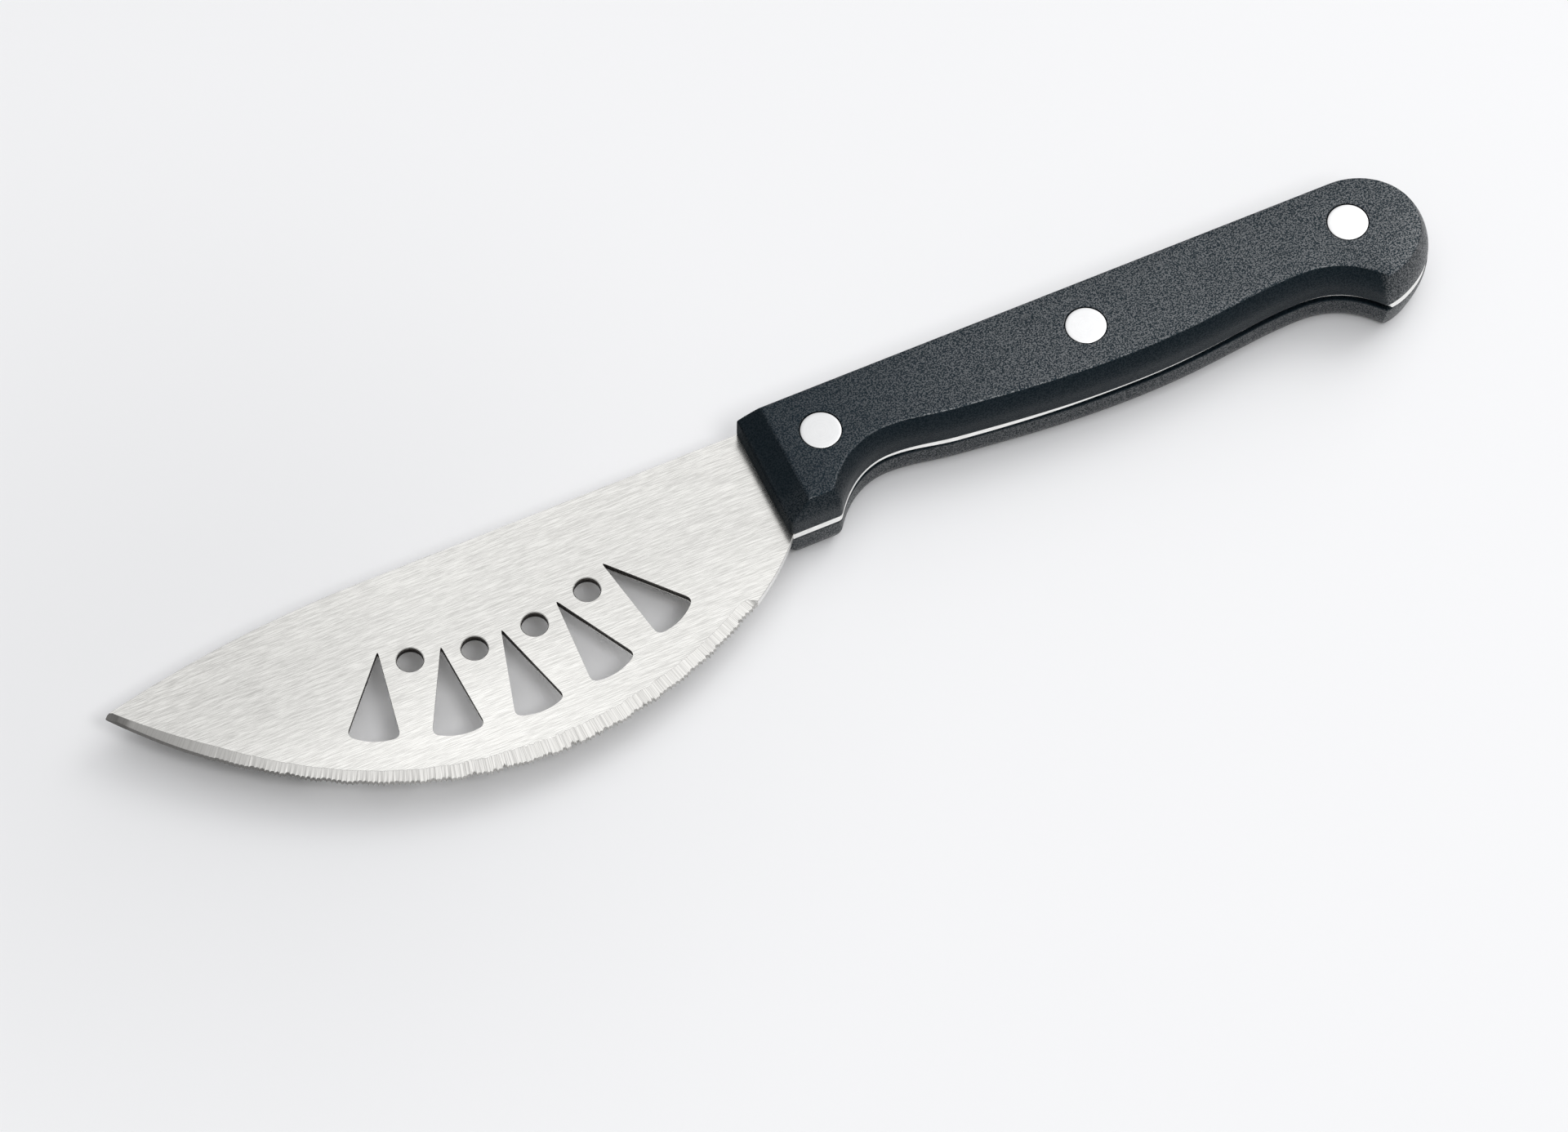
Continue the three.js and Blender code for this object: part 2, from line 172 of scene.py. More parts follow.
def add_piece(name, points, faces, uv=None, face_finish=None, creases=None):
    """Mesh object from drawing points in mm and lists of vertex numbers, with its normals turned
    outwards, smooth over gentle bends and sharp over hard ones. Edges between two points of the same
    crease number, other than 0, are sharp as well."""
    mesh = bpy.data.meshes.new(name)
    mesh.from_pydata(to_frame(points).tolist(), [], [list(map(int, face)) for face in faces])
    if face_finish is not None:
        mesh.polygons.foreach_set("material_index", np.asarray(face_finish, np.int32))
    if uv is not None:
        corners = np.empty(len(mesh.loops), np.int32)
        mesh.loops.foreach_get("vertex_index", corners)
        layer = mesh.uv_layers.new(name="surface")
        layer.data.foreach_set("uv", np.asarray(uv, np.float32)[corners].ravel())
    solid = bmesh.new()
    solid.from_mesh(mesh)
    bmesh.ops.recalc_face_normals(solid, faces=solid.faces)
    open_edges = sum(not edge.is_manifold for edge in solid.edges)
    solid.to_mesh(mesh)
    solid.free()
    mesh.shade_smooth()
    mesh.set_sharp_from_angle(angle=hard_bend)
    if creases is not None:
        ends = np.empty(2 * len(mesh.edges), np.int32)
        mesh.edges.foreach_get("vertices", ends)
        first, second = np.asarray(creases)[ends.reshape(-1, 2)].T
        sharp = np.empty(len(mesh.edges), bool)
        mesh.edges.foreach_get("use_edge_sharp", sharp)
        mesh.edges.foreach_set("use_edge_sharp", sharp | ((first == second) & (first > 0)))
    piece = bpy.data.objects.new(name, mesh)
    bpy.context.scene.collection.objects.link(piece)
    print(f"{name}: {len(mesh.vertices)} points, {len(mesh.polygons)} faces, {open_edges} open edges")
    return piece


print("edges are sharp from a bend of", round(np.degrees(hard_bend)), "degrees")

# %% [markdown]
# ## Handle outline
# Both scales and the tang share one outline: a guard at the front, a hollow for the finger, a long
# swell, and a beak before the round butt. One traced outline could be shrunk for the upper rings, but
# the walls lean in by different amounts, so the outline is a function of how far each side has moved
# inwards.

# %% Handle sizes and outline
handle_length = 113
half_handle = 7
half_steel = 0.7
guard_depth = 20
guard_length = 8.7
guard_angle = 54
guard_round = 0.6
front_round = 1.1
hollow_x, hollow_depth = 20, 13.15
shoulder_x, shoulder_depth, shoulder_angle = 31, 14.7, -7
swell_x, swell_depth = 61, 17
rear_hollow_x, rear_hollow_depth = 89.5, 15
beak_tip = np.array([101.5, -21.1])
beak_in_angle = -50
beak_out_angle = 1
butt_centre = np.array([101.2, -9.9])


def inset_corner(corner, in_angle, out_angle, before, after):
    """Where a corner goes when the walls before and after it move inwards: the point that is as far
    from each wall as asked, from two linear equations."""
    first = heading(in_angle + 90)
    second = heading(out_angle + 90)
    turn = first[0] * second[1] - first[1] * second[0]
    shift_x = (before * second[1] - after * first[1]) / turn
    shift_y = (after * first[0] - before * second[0]) / turn
    return stack(corner[0] + shift_x, corner[1] + shift_y)


def handle_underside(inset_at, butt_side, spine_side):
    """Guard corner, underside, beak and butt as rings of points. inset_at(x) is how far the underside
    has moved inwards at a distance from the handle's front."""
    def moved(x, depth):
        return stack(x, -depth + inset_at(x))

    guard_inset = inset_at(guard_length)
    guard = inset_corner([guard_length, -guard_depth], 0, guard_angle, guard_inset, guard_inset)
    guard_start = guard - guard_round * heading(0)
    guard_end = guard + guard_round * heading(guard_angle)
    hollow = moved(hollow_x, hollow_depth)
    shoulder = moved(shoulder_x, shoulder_depth)
    swell = moved(swell_x, swell_depth)
    rear_hollow = moved(rear_hollow_x, rear_hollow_depth)
    beak = inset_corner(beak_tip, beak_in_angle, beak_out_angle, inset_at(beak_tip[0]), butt_side)
    butt = stack(handle_length - butt_side, butt_centre[1])
    spine_end = stack(butt_centre[0], -spine_side)
    turn = np.linspace(0, np.pi / 2, 48, endpoint=False)[:, None]
    centre = stack(butt_centre[0], butt_centre[1] + 0 * butt[..., 0])[..., None, :]
    butt_arc = centre + (butt[..., None, :] - centre) * np.cos(turn)
    butt_arc = butt_arc + (spine_end[..., None, :] - centre) * np.sin(turn)
    return guard_start, np.concatenate([
        rounded(guard_start, guard, guard_end, 8),
        sweep(guard_end, guard_angle, hollow, 0, 32),
        sweep(hollow, 0, shoulder, shoulder_angle, 24),
        sweep(shoulder, shoulder_angle, swell, 0, 32),
        sweep(swell, 0, rear_hollow, 0, 32, 0.45, 0.3),
        sweep(rear_hollow, 0, beak, beak_in_angle, 36, 0.42, 0.37),
        sweep(beak, beak_out_angle, butt, 90, 40, 0.2, 0.47),
        butt_arc,
    ], -2), spine_end


print("handle, mm:", handle_length, "long and", 2 * half_handle, "thick")

# %% [markdown]
# ## Moulded scales
# Each scale is one moulded half. Its wall stands upright from the tang and rounds in to a flat face;
# the front is a ramp. An extrusion with a bevel modifier comes near, but a bevel is as wide at the
# spine as at the butt. So all of it is one skin: rings go up the wall, and each ring's four sides have
# their own inset.

# %% Scale rings
rim_round = 0.22
tang_round = 0.1
crown_height = 3.9
face_inset = 1.6
butt_inset = 1.5
spine_inset = 0.55
ramp_length = 3.85
ramp_drop_spine = 2.2
ramp_drop_guard = 2.8
spine_steps = 80


def crown(rise, height, inset):
    """Inset of a circular rounding at some rise above its foot: R - sqrt(R^2 - rise^2)."""
    radius = (height ** 2 + inset ** 2) / (2 * inset)
    return radius - np.sqrt(radius ** 2 - np.clip(rise, 0, height) ** 2)


def scale_levels():
    """Heights and extra insets up the wall: a quarter round at the tang, the wall, and a quarter
    round at the rim."""
    foot = np.radians(np.linspace(0, 90, 4))
    rise = np.radians(np.linspace(0, 90, 30)[1:-1])
    rim = np.radians(np.linspace(0, 90, 6))
    wall_foot = half_steel + tang_round
    wall_top = half_handle - rim_round
    height = np.concatenate([
        half_steel + tang_round * (1 - np.cos(foot)),
        wall_foot + (wall_top - wall_foot) * np.sin(rise),
        wall_top + rim_round * np.sin(rim)])
    extra = np.concatenate([
        tang_round * (1 - np.sin(foot)), np.zeros(len(rise)), rim_round * (1 - np.cos(rim))])
    return height, extra


def scale_rings():
    """Rings of the upper scale as points on the drawing: each level's outline, with its own insets, and
    its height."""
    height, extra = scale_levels()
    crown_foot = half_handle - crown_height
    inset = crown(height - crown_foot, crown_height, face_inset) + extra
    butt_side = crown(height - half_steel, half_handle - half_steel, butt_inset) + extra
    spine_side = crown(height - crown_foot, crown_height, spine_inset) + extra

    def ramp(drop):
        return ramp_length * np.clip((height - half_handle + drop) / drop, 0, 1) + extra

    top_front = stack(ramp(ramp_drop_spine), -spine_side)
    low_front = stack(ramp(ramp_drop_guard), -guard_depth + inset)
    guard_start, underside, spine_end = handle_underside(lambda x: inset, butt_side, spine_side)
    smallest_round = 0.15
    reach = np.clip(front_round - low_front[:, :1], smallest_round, None)
    down = low_front - top_front
    down = down / np.linalg.norm(down, axis=-1, keepdims=True)
    corner_start = low_front - reach * down
    corner_end = low_front + reach * heading(0)
    outline = np.concatenate([
        straight(top_front, corner_start, 24),
        rounded(corner_start, low_front, corner_end, 8),
        straight(corner_end, guard_start, 12),
        underside,
        straight(spine_end, top_front, spine_steps),
    ], -2)
    height = np.broadcast_to(height[:, None, None], outline.shape[:2] + (1,))
    return np.concatenate([outline, height], -1)


rings = scale_rings()
print("scale skin:", rings.shape[0], "rings of", rings.shape[1], "points")

# %% [markdown]
# Every rivet head sits in a round seat, with a bore for the sleeve below it. A Boolean modifier could
# cut them, but it leaves slivers that shade badly. Instead the two flat sides are divided into thirds,
# and a fan of quads fills each third from its border to the circle of its seat or bore.

# %% Scale faces
rivets_from_front = 10.5
rivets_from_butt = 12.3
rivet_depth = 8.1
rivet_row = np.linspace(rivets_from_front, handle_length - rivets_from_butt, 3)
rivet_places = stack(rivet_row, -rivet_depth)
seat_radius = 3.38
seat_height = 5.75
sleeve_radius = 2
bore_gap = 0.1
bore_radius = sleeve_radius + bore_gap


def divider_ends(top):
    """Places in a ring where two lines divide its face into thirds, one round each rivet: the points of
    the underside and of the spine that are nearest to a line x = constant between two rivets."""
    half_ways = (rivet_places[:-1, 0] + rivet_places[1:, 0]) / 2
    on_spine = np.arange(len(top)) >= len(top) - spine_steps
    on_underside = ~on_spine & (top[:, 1] < rivet_places[0, 1])
    away = abs(top[:, 0] - half_ways[:, None])
    low = np.argmin(np.where(on_underside, away, np.inf), 1)
    high = np.argmin(np.where(on_spine, away, np.inf), 1)
    return low, high


def split_face(points, ring, low, high):
    """Points with those of the two dividing lines added, and the vertex numbers round each third."""
    t = np.linspace(0, 1, 14)[1:-1, None]
    lines = [points[ring[a]] * (1 - t) + points[ring[b]] * t for a, b in zip(low, high)]
    first_line = np.arange(len(t)) + len(points)
    second_line = first_line + len(t)
    return np.concatenate([points, *lines]), [
        np.concatenate([ring[high[0]:], ring[:low[0] + 1], first_line]),
        np.concatenate([
            ring[low[0]:low[1] + 1], second_line, ring[high[1]:high[0] + 1], first_line[::-1]]),
        np.concatenate([ring[low[1]:high[1] + 1], second_line[::-1]]),
    ]


def scale_mesh():
    """Points and faces of the upper scale: its skin, and round each rivet a fan from the flat face to
    the seat, the seat's wall and floor, the bore and a fan over the side that lies on the tang."""
    points = rings.reshape(-1, 3)
    level_count, count = rings.shape[:2]
    faces = skin_faces(level_count, count).tolist()
    ring = np.arange(count)
    low, high = divider_ends(rings[-1])
    points, tang_thirds = split_face(points, ring, low, high)
    points, face_thirds = split_face(points, ring + (level_count - 1) * count, low, high)
    for place, border, tang_border in zip(rivet_places, face_thirds, tang_thirds):
        towards = points[border][:, :2] - place
        towards = towards / np.linalg.norm(towards, axis=-1, keepdims=True)
        for radius, height in (
                (seat_radius, half_handle), (seat_radius, seat_height),
                (bore_radius, seat_height), (bore_radius, half_steel)):
            circle = np.column_stack([place + radius * towards, np.full(len(towards), height)])
            numbers = np.arange(len(circle)) + len(points)
            points = np.concatenate([points, circle])
            faces += ring_faces(border, numbers).tolist()
            border = numbers
        faces += ring_faces(border, tang_border).tolist()
    return points, faces


scale_points, scale_faces = scale_mesh()
upper_moulding = add_piece("upper_moulding", scale_points, scale_faces)
lower_moulding = add_piece("lower_moulding", scale_points * [1, 1, -1], scale_faces)

# %% [markdown]
# ## Turned rivets
# A rivet is a headed pin pressed into a headed sleeve. Both are turned, so a profile of radius and
# height goes round an axis. The Screw modifier does that too, but here each point also keeps its radius
# as UV, for the marks of the lathe. The faced head is slightly domed, with its rim broken.

# %% Rivets
head_radius = 3.22
head_top = 6.96
head_dome = 0.03
rim_break = 0.12
pin_radius = 1.4
pin_hole_radius = 1.45
end_gap = 0.3
turns = 96


def turned(profile, place):
    """Points, faces and UV of a profile carried round an axis. UV is radius and turn, so that facing
    marks can follow circles. The two ends of the profile lie on the axis."""
    radius, height = np.asarray(profile, float).T
    angle = np.linspace(0, 2 * np.pi, turns, endpoint=False)
    middle = slice(1, -1)
    x = radius[middle, None] * np.cos(angle) + place[0]
    y = radius[middle, None] * np.sin(angle) + place[1]
    z = np.broadcast_to(height[middle, None], x.shape)
    grid = np.stack([x, y, z], -1).reshape(-1, 3)
    ends = np.array([[*place, height[0]], [*place, height[-1]]])
    points = np.concatenate([grid, ends])
    rows = len(radius) - 2
    faces = skin_faces(rows, turns).tolist()
    ring = np.arange(turns)
    last = ring + (rows - 1) * turns
    faces += np.column_stack([np.full(turns, len(grid)), np.roll(ring, -1), ring]).tolist()
    faces += np.column_stack([np.full(turns, len(grid) + 1), last, np.roll(last, -1)]).tolist()
    turn = np.broadcast_to(angle / (2 * np.pi), x.shape)
    from_axis = np.broadcast_to(radius[middle, None], x.shape)
    uv = np.stack([from_axis, turn], -1).reshape(-1, 2)
    uv = np.concatenate([uv, np.zeros((2, 2))])
    return points, faces, uv


def head_profile():
    """Radius and height over a head from its seat to its middle: side, broken rim and domed face."""
    bend = np.radians(np.linspace(0, 90, 5))
    face = np.linspace(head_radius - rim_break, 0, 8)[1:]
    dome = head_top + head_dome * (1 - (face / head_radius) ** 2)
    rim = np.column_stack([
        head_radius - rim_break + rim_break * np.cos(bend),
        head_top - rim_break + rim_break * np.sin(bend)])
    return np.concatenate([[[head_radius, seat_height]], rim, np.column_stack([face, dome])])


shank_end = end_gap - seat_height
pin_profile = np.concatenate([
    [[0, shank_end], [pin_radius, shank_end], [pin_radius, seat_height]],
    head_profile()])
sleeve_profile = np.concatenate([
    [[0, seat_height], [pin_hole_radius, seat_height], [pin_hole_radius, shank_end],
     [sleeve_radius, shank_end], [sleeve_radius, seat_height]],
    head_profile()])
rivets = {}
for name, place in zip(("front", "middle", "rear"), rivet_places):
    points, faces, uv = turned(pin_profile, place)
    rivets[f"{name}_rivet_pin"] = add_piece(f"{name}_pin", points, faces, uv)
    points, faces, uv = turned(sleeve_profile, place)
    rivets[f"{name}_rivet_sleeve"] = add_piece(f"{name}_sleeve", points * [1, 1, -1], faces, uv)

# %% [markdown]
# ## Steel blank
# Blade and tang are one blank. Its outline is a straight spine that bends down to the tip, the belly
# with its ground edge, the plain heel and the tang. The edge is two curves that meet at the belly. They
# are sampled finely once, so that any length along the edge can be looked up.

# %% Edge curve
blade_length = 108.3
tip = np.array([-blade_length, -5.4])
belly = np.array([-47, -39.8])
tip_angle = -52.8
heel_angle = 49.5
heel_x = 0.5
plain_heel = 13
straight_spine = 63
curve_steps = 1500
recess_places = [guard_length, hollow_x, shoulder_x, swell_x, rear_hollow_x, beak_tip[0]]
recess_depths = [0.04, 0.4, 0.2, 0.56, 0.72, 0.87]


def recess_at(x):
    """How far the tang lies behind the scales' outline, by linear steps: almost flush at the guard,
    more in the hollow, less at the shoulder and most at the beak."""
    return np.array([np.interp(x, recess_places, recess_depths)])


heel = np.array([heel_x, -guard_depth + recess_at(heel_x)[0]])
edge_points = np.concatenate([
    sweep(tip, tip_angle, belly, 0, curve_steps, 0.38, 0.34),
    sweep(belly, 0, heel, heel_angle, curve_steps, 0.31, 0.31),
    heel[None],
])
edge_steps = np.linalg.norm(np.diff(edge_points, axis=0), axis=1)
edge_length = np.concatenate([[0], np.cumsum(edge_steps)])
ground_length = edge_length[-1] - plain_heel


def along_edge(length):
    """Points and inward normals at lengths along the edge, read off the curve by linear steps."""
    place = np.stack([np.interp(length, edge_length, edge_points[:, k]) for k in (0, 1)], -1)
    tangent = np.gradient(edge_points, edge_length, axis=0)
    tangent = np.stack([np.interp(length, edge_length, tangent[:, k]) for k in (0, 1)], -1)
    normal = np.stack([-tangent[:, 1], tangent[:, 0]], -1)
    return place, normal / np.linalg.norm(normal, axis=-1, keepdims=True)


print("edge, mm:", round(edge_length[-1], 1), "of which ground:", round(ground_length, 1))

# %% [markdown]
# The ground edge is the hard part. The wheel leaves a bevel that is widest at the belly, with teeth in
# groups that each start with a step inwards, and every tooth has a flute up the bevel. A bump texture
# could suggest teeth, but the outline would stay smooth, so they are geometry: four lines along the
# edge, each a formula of the length.

# %% Ground edge
plain_tip = 13
plain_step = 0.1
tooth_pitch = 0.8
teeth_per_scallop = 7
tooth_steps = 10
tooth_depth = 0.42
mean_notch = 0.7
full_depth_after = 15
scallop_depth = 0.28
scallop_share = 0.55
scallop_at_top = 0.3
tip_setback = 0.6
tip_bevel = 0.8
bevel_growth = 1.05
bevel_grown_at = 18
belly_bevel = 0.7
belly_share = 0.62
spread_to_tip = 0.16
spread_to_heel = 0.3
nick_spacing = 0.27
land_width = 0.05
shortest_flute = 0.06
flute_share = 0.22
flute_wave = 0.02
run_out_length = 2.2
land_places = [0.005, 0.02, 0.08, 0.3, 0.5, 0.8, 1]
land_shares = [0.1, 0.74, 0.68, 0.58, 0.5, 0.5, 0.6]


def uneven(number):
    """A repeatable value between 0 and 1 for each whole number: the fraction of a large sine."""
    return (np.sin(12.9898 * np.floor(number) + 4.1) * 43758.5453) % 1


def ground_edge():
    """Lengths along the edge, how far four lines of the bevel lie inside the blank's curve (its edge,
    the top of the land above the edge, the end of the notches and the upper end) and the land's share
    of the thickness. A tooth is a root of |sin| of the length with a nick in it, pointed outwards and
    round inwards; a scallop is a ramp that falls from 1 to 0 over the first part of each group; the
    bevel is a bell curve about the belly. No two teeth are the same."""
    plain = np.arange(1.0, plain_tip - plain_step / 2, plain_step)
    teeth = np.floor((ground_length - plain_tip) / tooth_pitch)
    tooth = np.arange(0, teeth, 1 / tooth_steps)
    length = np.concatenate([plain, plain_tip + tooth * tooth_pitch])
    tooth = np.concatenate([np.zeros(len(plain)), tooth])
    share = length / ground_length
    growth = np.clip((length - plain_tip) / full_depth_after, 0, 1)
    scallop = np.clip(1 - (tooth % teeth_per_scallop) / teeth_per_scallop / scallop_share, 0, 1)
    setback = tip_setback * (1 - share ** 2)
    spread = np.where(share < belly_share, spread_to_tip, spread_to_heel)
    bell = np.exp(-((share - belly_share) / spread) ** 2)
    notch = 0.75 * abs(np.sin(np.pi * tooth)) ** 0.6 + 0.25 * abs(np.sin(2.7 * np.pi * tooth))
    notch = notch * (0.8 - 0.4 * bell + (0.4 + 0.7 * bell) * uneven(tooth))
    bevel = tip_bevel + bevel_growth * np.clip(length / bevel_grown_at, 0, 1) + belly_bevel * bell
    wander = 0.08 * (uneven(tooth) - 0.5) + 0.11 * (uneven(length / nick_spacing) - 0.5)
    ragged = growth * bevel * (0.05 + 0.95 * bell) * wander
    run_out = np.sqrt(1 - np.clip(1 - (ground_length - length) / run_out_length, 0, 1) ** 2)
    mean_edge = setback + growth * (scallop_depth * scallop + mean_notch * tooth_depth)
    mean_top = setback + growth * scallop_at_top * scallop_depth * scallop + bevel
    lower = run_out * (mean_edge + growth * tooth_depth * (notch - mean_notch))
    land = lower + run_out * land_width
    notch_end = mean_edge + flute_share * (mean_top - mean_edge)
    flute = run_out * (notch_end + growth * flute_wave * (notch - mean_notch))
    flute = np.maximum(flute, land + run_out * shortest_flute)
    upper = run_out * (mean_top + ragged)
    return length, lower, land, flute, upper, np.interp(share, land_places, land_shares)


length, *insets, land_share = ground_edge()
place, normal = along_edge(length)
ground_lines = [place + normal * inset[:, None] for inset in insets]
print("ground edge:", len(length), "stations")

# %% [markdown]
# The four lines of the bevel become four whole outlines of the blank, one above the other. The heel is
# the same in all of them, and the spine ends where each line begins at the tip. The tang leans in a
# little, as it is ground together with the scales.

# %% Blank outline
arc_steps = 40
heel_steps = 40
tip_insets = (0.6, 0.65, 0.85, 1.25)
tang_insets = (0.0, 0.16, 0.32, 0.45)
butt_recess = np.array([0.2])
spine_radius = ((blade_length - straight_spine) ** 2 + tip[1] ** 2) / (-2 * tip[1])
swept = np.arcsin((blade_length - straight_spine) / spine_radius)
turn_per_inset = 1 / np.sin(swept - np.radians(tip_angle)) / spine_radius
heel_line, _ = along_edge(np.linspace(ground_length, edge_length[-1], heel_steps, endpoint=False))


def spine_arc(end):
    """Arc from the straight spine towards the tip: a circle that touches the spine and passes through
    the tip, from angle 0 to an end angle."""
    angle = np.linspace(0, end, arc_steps)
    x = -straight_spine - spine_radius * np.sin(angle)
    return stack(x, spine_radius * (np.cos(angle) - 1))


def tang_outline(inset):
    """From the heel round the tang and back along the spine. The linishing belt leaves the tang's edge
    on a slant: the higher up, the further in, by the inset."""
    start, curve, end = handle_underside(
        lambda x: recess_at(x) + inset, butt_recess + inset, np.zeros(1))
    spine_start = np.array([-straight_spine, 0.0])
    return np.concatenate([
        straight(heel, start[0], 10), curve[0], straight(end[0], spine_start, 60)])


blank_outlines = []
for tip_inset, line, tang_inset in zip(tip_insets, ground_lines, tang_insets):
    arc = spine_arc(swept - tip_inset * turn_per_inset)
    blank_outlines.append(np.concatenate([arc, line, heel_line, tang_outline(tang_inset)]))
is_ground = np.zeros(len(blank_outlines[0]), bool)
is_ground[arc_steps:arc_steps + len(length)] = True
land_height = np.full(len(is_ground), 1 / 3)
land_height[is_ground] = land_share
flute_height = np.full(len(is_ground), 2 / 3)
flute_height[is_ground] = land_share + flute_share * (1 - land_share)
print("blank outline:", len(is_ground), "points")

# %% [markdown]
# ## Windows
# The blade is pierced by a fan of slices with round toppings between them. A press cuts them, so their
# upper rims are drawn in a little and their walls are rough and dark. Cutters and Booleans could make
# them, but as outlines they can be holes of one triangulation, and each wall keeps its neat rings.

# %% Window outlines
fan_radius = 66.5
crust_margin = 8.4
crust_spacing = 13
crust_bulge = 1.4
half_crust = 4.3
slice_length = 15.5
slice_round = 1.4
topping_radius = 2.1
topping_drop = 2.2
fan_centre = belly + [0, fan_radius]
crust_radius = fan_radius - crust_margin
apex_radius = crust_radius - slice_length
slice_pitch = crust_spacing / crust_radius


def slice_outline():
    """A slice with its apex at the origin and its bulging crust towards -y, with rounded corners."""
    corner = np.array([half_crust, -slice_length])
    flip = np.array([-1, 1])
    side = corner / np.linalg.norm(corner) * slice_round
    crust = np.array([-half_crust, -crust_bulge])
    crust = crust / np.linalg.norm(crust) * slice_round
    apex = np.zeros(2)
    bulge = np.array([0, -slice_length - crust_bulge])
    return np.concatenate([
        rounded(side * flip, apex, side, 12),
        straight(side, corner - side, 24),
        rounded(corner - side, corner, corner + crust, 10),
        rounded(corner + crust, bulge, (corner + crust) * flip, 24),
        rounded((corner + crust) * flip, corner * flip, (corner - side) * flip, 10),
        straight((corner - side) * flip, side * flip, 24),
    ])[::-1]


def turned_about_fan(outline, turns_from_middle):
    """The outline turned about the fan's centre."""
    angle = turns_from_middle * slice_pitch
    cosine, sine = np.cos(angle), np.sin(angle)
    x, y = outline.T
    return fan_centre + np.stack([cosine * x - sine * y, sine * x + cosine * y], -1)


clockwise = -np.linspace(0, 2 * np.pi, 48, endpoint=False)
circle = stack(np.cos(clockwise), np.sin(clockwise))
topping = topping_radius * circle - [0, apex_radius + topping_drop]
slices = slice_outline() - [0, apex_radius]
windows = [turned_about_fan(slices, k) for k in (-2, -1, 0, 1, 2)]
windows += [turned_about_fan(topping, k) for k in (-1.5, -0.5, 0.5, 1.5)]
rivet_holes = [place + bore_radius * circle for place in rivet_places]
print("windows:", len(windows), "and rivet holes:", len(rivet_holes))

# %% Flat faces and walls
def flat_face(points, loops):
    """Triangles over a flat face, from its outer loop and its window loops: a Delaunay triangulation
    of the outlines that leaves the windows open."""
    inside_without_holes = 2
    same_point = 1e-7
    numbers = np.concatenate(loops)
    starts = np.cumsum([0] + [len(loop) for loop in loops])
    outlines = [list(range(a, b)) for a, b in zip(starts[:-1], starts[1:])]
    flat = [Vector(point) for point in points[numbers, :2].tolist()]
    _, _, triangles, sources, _, _ = delaunay_2d_cdt(
        flat, [], outlines, inside_without_holes, same_point)
    source = numbers[np.array([origin[0] for origin in sources])]
    return source[np.array(triangles)]


def inwards(outline):
    """Unit normals of closed counter-clockwise outlines that point to their inside: the central
    difference, turned by a quarter."""
    along = np.roll(outline, -1, -2) - np.roll(outline, 1, -2)
    normal = np.stack([-along[..., 1], along[..., 0]], -1)
    return normal / np.linalg.norm(normal, axis=-1, keepdims=True)


def walls(outlines, shares, break_low, break_high):
    """Six rings up a wall: the lower rim, the wall's lower edge, two lines at shares of its height, its
    upper edge and the upper rim. The breaks are how far the rims lie inside the steel. Shares and
    breaks have one value per point."""
    def lifted(outline, z):
        return np.column_stack([outline, np.broadcast_to(z, len(outline))])

    lowest, first, second, highest = outlines
    return np.stack([
        lifted(lowest + inwards(lowest) * break_low[:, None], -half_steel),
        lifted(lowest, break_low - half_steel),
        lifted(first, (2 * shares[0] - 1) * half_steel),
        lifted(second, (2 * shares[1] - 1) * half_steel),
        lifted(highest, half_steel - break_high),
        lifted(highest + inwards(highest) * break_high[:, None], half_steel)])


print("rings in a wall:", len(blank_outlines) + 2)

# %% [markdown]
# Now the blank closes: walls round the outline and round each hole, and two flat faces between them.
# Every face has the number of its finish, and the lines of the bevel are marked as sharp, so that the
# light breaks there as it does on ground steel.

# %% Blade mesh
rim_draw = 0.09
edge_break = 0.012
bevel_break = 0.03
window_break = 0.05
window_draw = 0.12
FACE, GRIND, CUT, FLUSH = 0, 1, 2, 3


def blade_mesh():
    """Points, faces, UV, finish numbers and crease numbers of the blank with its windows. UV is the
    length along the outline in mm, from the tip on, and the share up the wall."""
    break_low = np.where(is_ground, edge_break, rim_draw)
    break_high = np.where(is_ground, bevel_break, rim_draw)
    shells = [walls(blank_outlines, (land_height, flute_height), break_low, break_high)]
    for window in windows + rivet_holes:
        even = np.ones(len(window))
        thirds = (even / 3, even * 2 / 3)
        shells.append(walls([window] * 4, thirds, window_break * even, window_draw * even))
    shares = np.array([0, 0.05, 1 / 3, 2 / 3, 0.95, 1])[:, None]
    points, faces, finish, uv, creases = [], [], [], [], []
    lower_loops, upper_loops = [], []
    start = 0
    for shell in shells:
        rows, count = shell.shape[:2]
        numbers = np.arange(rows * count).reshape(rows, count) + start
        faces.append(skin_faces(rows, count) + start)
        points.append(shell.reshape(-1, 3))
        steps = np.linalg.norm(np.diff(shell[2, :, :2], axis=0), axis=1)
        along = np.concatenate([[0], np.cumsum(steps)])
        wall = np.full(count, CUT)
        crease = np.zeros((rows, count))
        is_outline = start == 0
        if is_outline:
            along = along - along[np.argmax(is_ground)]
            wall = np.where(is_ground | np.roll(is_ground, -1), GRIND, FLUSH)
            crease = np.outer([0, 1, 2, 0, 3, 0], is_ground)
        uv.append(np.stack(np.broadcast_arrays(along, shares), -1).reshape(-1, 2))
        lower_loops.append(numbers[0])
        upper_loops.append(numbers[-1])
        rim = np.full(count, FACE)
        finish.append(np.stack([rim, wall, wall, wall, rim]).ravel())
        creases.append(crease.ravel())
        start += rows * count
    points = np.concatenate(points)
    lower = flat_face(points, lower_loops)[:, ::-1]
    upper = flat_face(points, upper_loops)
    faces = np.concatenate(faces).tolist() + lower.tolist() + upper.tolist()
    finish = np.concatenate(finish + [np.full(len(lower) + len(upper), FACE)])
    return points, faces, np.concatenate(uv), finish, np.concatenate(creases)


steel_blank = add_piece("steel_blank", *blade_mesh())

